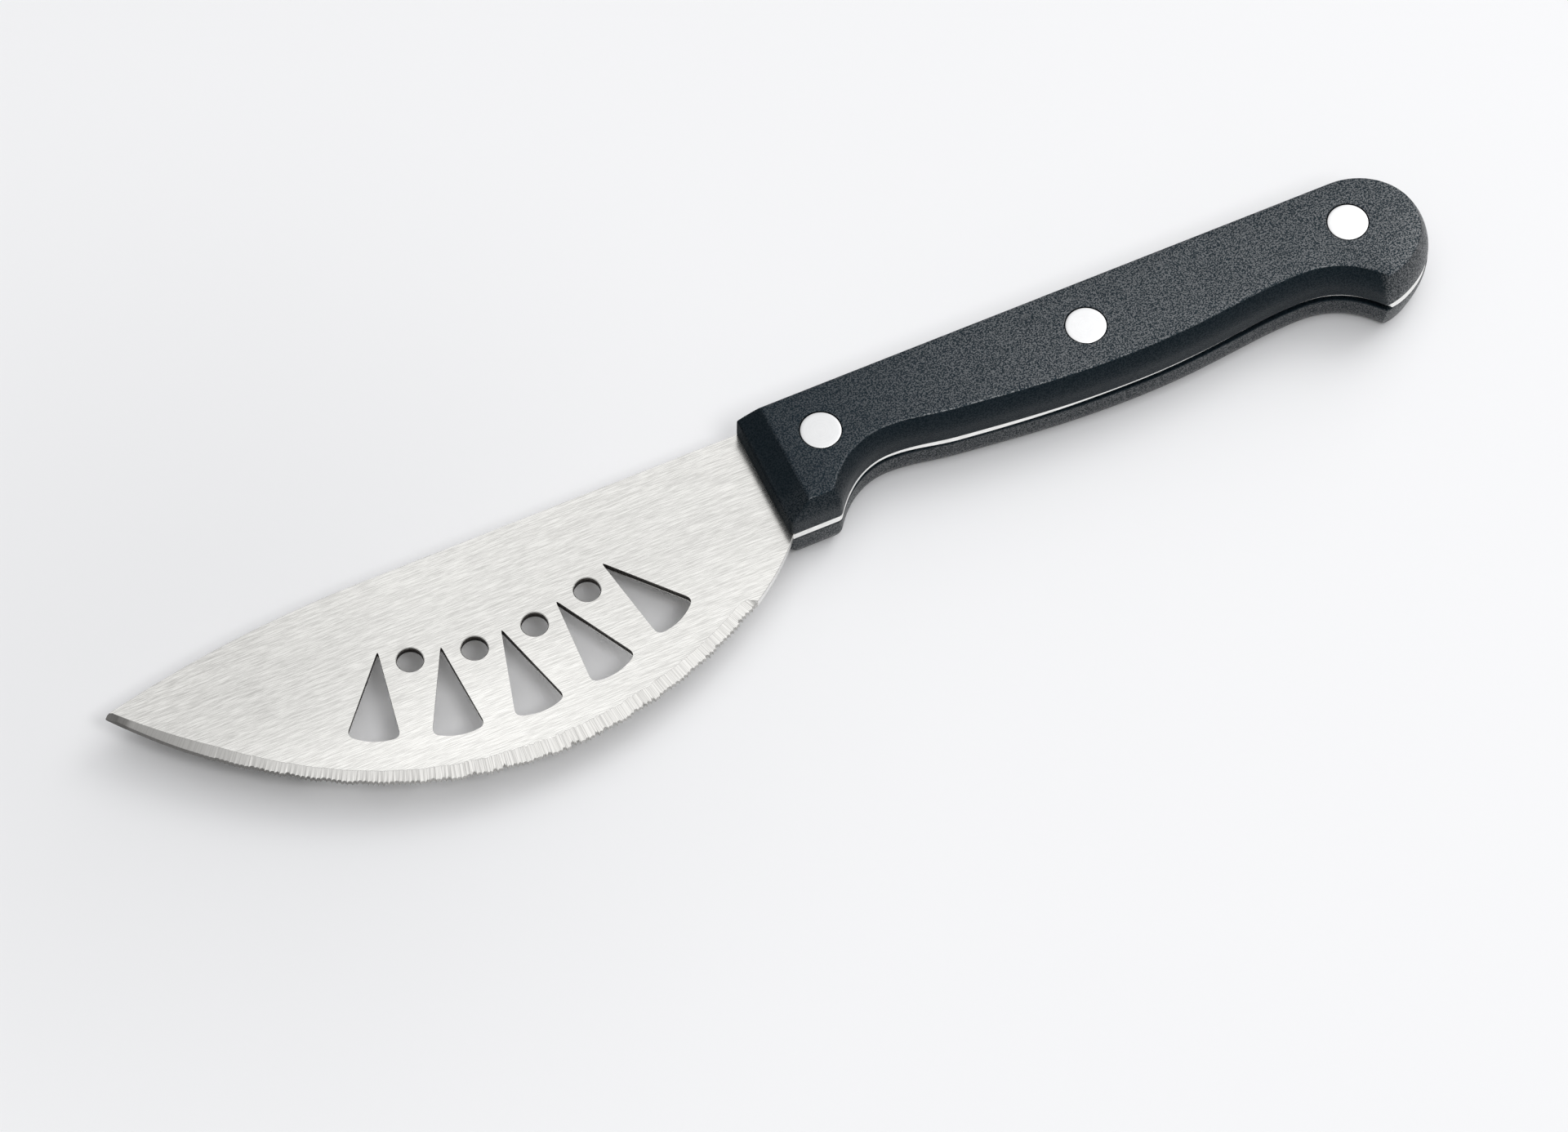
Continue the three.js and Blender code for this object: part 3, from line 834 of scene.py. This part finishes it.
# %% [markdown]
# ## Finishes
# Shader maths reads best as plain expressions. Nodes could be made and linked one by one, but then a
# short formula takes twenty lines. A small class wraps one socket; adding, subtracting or multiplying
# two of them adds the Math node that does it. One method makes every other node.

# %% Shader maths
class Field:
    """A value that varies over a surface: one output socket, with the operators of arithmetic."""

    def __init__(self, socket):
        self.socket = socket

    def node(self, kind, settings, out=0, **inputs):
        """Adds a node: its settings first, then the values or links of its sockets. A socket goes by
        its name, or by _ and its number."""
        tree = self.socket.id_data
        made = tree.nodes.new(kind)
        for key, value in settings.items():
            setattr(made, key, value)
        for key, value in inputs.items():
            socket_key = int(key[1:]) if key[0] == "_" else key.replace("_", " ")
            slot = made.inputs[socket_key]
            if isinstance(value, Field):
                tree.links.new(value.socket, slot)
            else:
                slot.default_value = value
        return Field(made.outputs[out])

    def maths(self, operation, first, second):
        """A Math node with two inputs, each a field or a number."""
        return self.node("ShaderNodeMath", {"operation": operation}, _0=first, _1=second)

    def __add__(self, other):
        return self.maths("ADD", self, other)

    def __radd__(self, other):
        return self.maths("ADD", other, self)

    def __sub__(self, other):
        return self.maths("SUBTRACT", self, other)

    def __rsub__(self, other):
        return self.maths("SUBTRACT", other, self)

    def __mul__(self, other):
        return self.maths("MULTIPLY", self, other)

    def __rmul__(self, other):
        return self.maths("MULTIPLY", other, self)

    def part(self, number):
        """One part of a vector: 0, 1 or 2 for x, y or z."""
        return self.node("ShaderNodeSeparateXYZ", {}, number, Vector=self)

    def step(self, low, high):
        """0 below low, 1 above high and smooth between them."""
        return self.node(
            "ShaderNodeMapRange", {"interpolation_type": "SMOOTHSTEP"}, Value=self,
            From_Min=low, From_Max=high)

    def mix(self, first, second):
        """Colour from first to second by this value."""
        return self.node(
            "ShaderNodeMix", {"data_type": "RGBA"}, 2, _0=self, _6=first, _7=second)

    def scaled(self, x, y, z):
        """A vector with its parts multiplied."""
        return self.node("ShaderNodeMapping", {}, Vector=self, Scale=(x, y, z))

    def noise(self, scale, detail=2.0, roughness=0.5):
        """Smooth noise between 0 and 1 over a vector, with the given waves per unit."""
        return self.node(
            "ShaderNodeTexNoise", {}, Vector=self, Scale=scale, Detail=detail, Roughness=roughness)


# %% Finish helpers
def new_finish(name, **constants):
    """A material, its shader's inputs, and Object coordinates and the surface's UV as fields."""
    material = bpy.data.materials.new(name)
    material.use_nodes = True
    shader = material.node_tree.nodes["Principled BSDF"]
    for key, value in constants.items():
        shader.inputs[key.replace("_", " ")].default_value = value
    coordinates = material.node_tree.nodes.new("ShaderNodeTexCoord")
    return material, shader, Field(coordinates.outputs["Object"]), Field(coordinates.outputs["UV"])


def feed(shader, **fields):
    """Links fields to the shader's inputs."""
    for key, field in fields.items():
        shader.id_data.links.new(field.socket, shader.inputs[key.replace("_", " ")])


def on_drawing(where):
    """Object coordinates as three fields, in the drawing's millimetres."""
    return [(where.part(k) - drawing_zero[k]) * (1 / MM) for k in range(3)]


def bump(height, distance, strength):
    """Normals tilted by a height field. The distance is in metres."""
    return height.node("ShaderNodeBump", {}, Height=height, Distance=distance, Strength=strength)


print("finishes read the drawing from x, y, z =", np.round(drawing_zero, 4), "m")

# %% [markdown]
# ### Blasted black plastic
# The scales are a hard black plastic from a blasted mould: a fine, even speckle of about a quarter
# millimetre that breaks the reflection up. The colour itself is almost black; what is seen of it is
# reflected light. So the speckle goes into the coat's weight and a bump, not only into the colour. The
# flat faces get a lighter colour than the walls, which is painted light, and shine more. The guard,
# the butt, the lower scale and the back of the flat faces get a thicker coat: that is painted sheen.

# %% Plastic
plastic, shader, where, _ = new_finish(
    "blasted_plastic", IOR=1.5, Specular_IOR_Level=0.17, Specular_Tint=(0.42, 0.78, 1.0, 1),
    Coat_Roughness=0.34, Coat_IOR=2.02)
x, y, z = on_drawing(where)
speckle = where.noise(4200.0, 2.0, 0.6)
patches = where.noise(160.0, 3.0, 0.55)
grain = speckle.step(0.42, 0.62)
towards_rear = x.step(0, 50)
front_wall = 1 - x.step(0.15, 0.4)
at_guard = (1 - y.step(-18, -14)) * (1 - x.step(9, 14))
at_butt = x.step(100.8, 101.8)
below = 1 - z.step(-1.1, -0.85)
# Painted sheen: a thicker coat on the guard, the butt and the lower scale, and a thinner one on the
# front half of the flat faces.
painted_sheen_places = 1 - (1 - 0.27 * at_guard) * (1 - at_butt) * (1 - 0.9 * below)
faced = (z * z).step(6.8 ** 2, 6.96 ** 2)
painted_face_sheen = 1 - 0.62 * faced * (1 - towards_rear)
gloss = 0.1 + 0.75 * painted_sheen_places + (0.9 - 0.75 * painted_sheen_places) * faced
# Painted light: the flat faces get a lighter colour than the walls; grain and patches vary it at
# random.
tone_with_painted_light = 0.3 * grain + 0.2 * patches + 0.5 * faced
feed(
    shader,
    Base_Color=tone_with_painted_light.mix((0.0008, 0.0012, 0.0018, 1), (0.004, 0.0078, 0.0125, 1)),
    Roughness=0.36 + 0.1 * patches + 0.5 * front_wall,
    Coat_Weight=(0.05 + 0.95 * grain) * painted_face_sheen * gloss,
    Normal=bump(grain, 0.00003, 0.7))
for piece in (upper_moulding, lower_moulding):
    piece.data.materials.append(plastic)
print("finish:", plastic.name)

# %% [markdown]
# ### Brushed steel
# The sheet was brushed along its length before it was cut, so every streak runs along x: hair lines a
# tenth of a millimetre wide, and fainter, broader ones. The streaks tilt the reflection across the
# blade, which is why brushed steel glows softly. The shader's Anisotropic input gives that glow without
# any streaks; noise that is stretched along x gives both.

# %% Steel face
steel, shader, where, _ = new_finish("brushed_steel", Metallic=1.0)
x, y, _ = on_drawing(where)
hairs = where.scaled(300.0, 8500.0, 900.0).noise(1.0, 3.0, 0.75)
streaks = where.scaled(110.0, 4500.0, 300.0).noise(1.0, 2.0, 0.5)
cloud = where.scaled(14.0, 30.0, 30.0).noise(1.0, 2.0, 0.5)
brush = (0.74 * hairs + 0.2 * streaks + 0.06 * cloud).step(0.39, 0.61)
# Painted light: the base colour is lighter away from the tip and towards the belly, and darker at the
# belly near the heel.
from_tip = x.step(-90, -55)
to_belly = 1 - y.step(-30, -12)
to_heel = x.step(-55, -25)
tone_with_painted_light = 0.35 * from_tip + 0.65 * to_belly - 0.38 * to_belly * to_heel
feed(
    shader,
    Base_Color=(0.55 * brush + 0.45 * tone_with_painted_light).mix((0.42, 0.413, 0.395, 1), (0.836, 0.827, 0.794, 1)),
    Roughness=0.18 + 0.1 * hairs,
    Normal=bump(0.7 * hairs + 0.3 * streaks, 0.000006, 0.6))
print("finish:", steel.name)

# %% [markdown]
# ### Ground bevel
# The bevel is ground across, so its scratches run from the edge upwards. Object coordinates would keep
# them parallel to one axis, but the edge curves. So they follow the length along the edge, which the
# blade carries as its UV map.

# %% Ground bevel
ground, shader, _, uv = new_finish("ground_bevel", Metallic=1.0)
scratches = uv.scaled(4.8, 0.12, 1.0).noise(1.0, 2.0, 0.6)
fine = uv.scaled(14.0, 0.5, 1.0).noise(1.0, 1.0, 0.5)
along_bevel = uv.part(0)
above_land = uv.part(1).step(0.3, 0.36)
# Painted shade: the bevel is darker for about 34 mm from the tip, the land below it up to about 65 mm,
# and all of it a few percent from 40 mm on.
past_tip = 0.2 + 0.3 * along_bevel.step(2.5, 3.5) + 0.5 * along_bevel.step(6.0, 34.0)
painted_land_shade = above_land + (1 - above_land) * (0.3 + 0.6 * along_bevel.step(35.0, 65.0))
marks = 0.8 * scratches + 0.2 * fine
at_belly = along_bevel.step(40.0, 60.0)
ruled = 0.92 + 0.08 * at_belly - (0.16 + 0.19 * at_belly) * (1 - marks.step(0.43, 0.53))
polish_and_painted_shade = ruled * (0.1 + 0.9 * painted_land_shade) * past_tip * (1 - 0.06 * at_belly)
feed(
    shader,
    Base_Color=polish_and_painted_shade.mix((0.1, 0.096, 0.09, 1), (0.68, 0.671, 0.648, 1)),
    Roughness=0.5 + 0.1 * fine,
    Normal=bump(marks, 0.00002, 0.4))
print("finish:", ground.name)

# %% [markdown]
# ### Sheared walls
# A press shears the upper part of a wall smooth and tears the rest, so a wall shows a lighter band
# and a dark one. Two materials would meet in a straight line; one step over the height, with some noise
# added, gives the ragged line that a torn edge has.

# %% Sheared walls
sheared, shader, _, uv = new_finish("sheared_walls", Metallic=1.0)
tear = uv.scaled(3.0, 5.0, 1.0).noise(1.0, 3.0, 0.6)
smooth_band = (uv.part(1) + 0.12 * tear).step(0.55, 0.7)
feed(
    shader,
    Base_Color=smooth_band.mix((0.03, 0.027, 0.024, 1), (0.11, 0.1, 0.09, 1)),
    Roughness=0.55 - 0.15 * smooth_band,
    Normal=bump(tear, 0.00003, 0.5))
print("finish:", sheared.name)

# %% [markdown]
# ### Linished strip
# Spine, heel and tang are linished on a belt along their length, together with the scales, so the
# strip between the scales is bright with fine lines along it. They are noise on the UV map, stretched
# along the outline, so they turn with it round the butt.

# %% Linished strip
linished, shader, _, uv = new_finish("linished_strip", Metallic=1.0)
lines = uv.scaled(0.4, 14.0, 1.0).noise(1.0, 3.0, 0.6)
feed(
    shader,
    Base_Color=lines.step(0.3, 0.7).mix((0.8, 0.794, 0.775, 1), (0.98, 0.974, 0.955, 1)),
    Roughness=0.14 + 0.1 * lines,
    Normal=bump(lines, 0.00001, 0.4))
for finish in (steel, ground, sheared, linished):
    steel_blank.data.materials.append(finish)
print("finish:", linished.name)

# %% [markdown]
# ### Faced rivets
# The rivets are faced after they are pressed, which leaves faint circles about each axis. A Wave
# texture makes rings that are too even. The UV holds the radius, so the circles are a noise of the
# radius alone.

# %% Rivet heads
rivet_metal, shader, where, uv = new_finish("faced_aluminium", Metallic=1.0)
circles = uv.scaled(9.0, 0.0, 1.0).noise(1.0, 3.0, 0.6)
rub = where.noise(900.0, 2.0, 0.5)
x, _, _ = on_drawing(where)
# Painted light: the middle and rear rivets get a lighter colour than the front one.
tone_with_painted_light = 0.5 * (0.7 * circles + 0.3 * rub).step(0.3, 0.7) + 0.5 * x.step(0, 50)
feed(
    shader,
    Base_Color=tone_with_painted_light.mix((0.62, 0.62, 0.62, 1), (0.775, 0.775, 0.775, 1)),
    Roughness=0.26 + 0.14 * rub,
    Normal=bump(circles, 0.00001, 0.5))
for piece in rivets.values():
    piece.data.materials.append(rivet_metal)
print("finish:", rivet_metal.name)

# %% [markdown]
# ## Table and light
# The table is a pale sheet with a painted shadow that makes it a little greyer round the tip. The
# light is a dim room with one large oval softbox overhead, so that sloping faces of the handle go
# black and flat ones glow. It could be a lamp, but as part of the sky it lights a table of any size.
# Near the horizon stands a pale backdrop that only the camera and reflections see. Two small softboxes
# stand closer by.

# %% Table
table_half = 4.0
painted_shadow_centre = (-0.091, 0.017, 0)


def table_mesh(half, steps):
    """A flat grid: both parameters run from -half to half."""
    across = np.linspace(-half, half, steps)
    x, y = np.meshgrid(across, across)
    points = np.stack([x, y, np.zeros_like(x)], -1).reshape(-1, 3)
    numbers = np.arange(steps * steps).reshape(steps, steps)
    quads = np.stack([numbers[:-1, :-1], numbers[:-1, 1:], numbers[1:, 1:], numbers[1:, :-1]], -1)
    return points, quads.reshape(-1, 4)


points, faces = table_mesh(table_half, 9)
mesh = bpy.data.meshes.new("table")
mesh.from_pydata(points.tolist(), [], faces.tolist())
table = bpy.data.objects.new("table", mesh)
bpy.context.scene.collection.objects.link(table)
paper, shader, where, _ = new_finish("table_sheet", Roughness=0.9, Specular_IOR_Level=0.1)
# Painted shadow: the sheet is greyer near the blade's tip.
from_painted_shadow = where.node(
    "ShaderNodeVectorMath", {"operation": "DISTANCE"}, 1, _0=where, _1=painted_shadow_centre)
pale = 0.93 * from_painted_shadow.step(0.005, 0.12) + 0.07 * where.noise(30.0)
feed(shader, Base_Color=pale.mix((0.855, 0.855, 0.862, 1), (0.945, 0.945, 0.953, 1)))
mesh.materials.append(paper)
print("table, m:", 2 * table_half)

# %% Light
box_slant = 0.4
box_centre = (0.25, 0.04)
box_half = (0.62, 0.66)
room_level = 0.2
box_level = 1.15
backdrop_level = 0.66
backdrop_fall = 0.45
world = bpy.data.worlds.new("softbox_sky")
bpy.context.scene.world = world
world.use_nodes = True
sky = world.node_tree.nodes["Background"]
direction = Field(world.node_tree.nodes.new("ShaderNodeTexCoord").outputs["Generated"])
to_right, to_back, upwards = (direction.part(k) for k in range(3))
across_box = (to_right - box_slant * to_back - box_centre[0]) * (1 / box_half[0])
along_box = (to_back - box_centre[1]) * (1 / box_half[1])
outside_box = (across_box * across_box + along_box * along_box).step(0.85, 1.35)
ray = world.node_tree.nodes.new("ShaderNodeLightPath").outputs
in_view = Field(ray["Is Camera Ray"]) + Field(ray["Is Glossy Ray"])
backdrop = in_view * outside_box * (backdrop_level - backdrop_fall * upwards.step(0.3, 0.55))
level = room_level + box_level * (1 - outside_box) + backdrop
world.node_tree.links.new(level.socket, sky.inputs["Strength"])
sky.inputs["Color"].default_value = (0.985, 0.99, 1.0, 1)


def add_softbox(name, place, size, radiance):
    """A square lamp of a given brightness that faces the knife. Its power is brightness times area
    times pi."""
    lamp_data = bpy.data.lights.new(name, "AREA")
    lamp_data.shape = "SQUARE"
    lamp_data.size = size
    lamp_data.energy = radiance * size ** 2 * np.pi
    lamp = bpy.data.objects.new(name, lamp_data)
    lamp.location = place
    lamp.rotation_mode = "QUATERNION"
    lamp.rotation_quaternion = (-Vector(place)).to_track_quat("-Z", "Y")
    lamp.visible_camera = False
    bpy.context.scene.collection.objects.link(lamp)


add_softbox("right_box", place=(0.5, 0.15, 0.55), size=0.35, radiance=2.4)
add_softbox("key_box", place=(0.08, -0.6, 1.05), size=0.3, radiance=10.0)
bpy.context.scene.view_settings.view_transform = "Standard"
print("light: one large softbox in the sky and two small ones")

# %% [markdown]
# ## Riding and standing in
# Each piece stands for one solid of the frame and moves with its only body.

# %% Hand over to the frame
stands_for = {
    "upper_scale": (upper_moulding, "handle_plastic"),
    "lower_scale": (lower_moulding, "handle_plastic"),
    "blade": (steel_blank, "blade_steel"),
    **{node: (piece, "rivet_aluminium") for node, piece in rivets.items()},
}
for node, (piece, slot) in stands_for.items():
    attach(piece, "root")
    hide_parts(node)
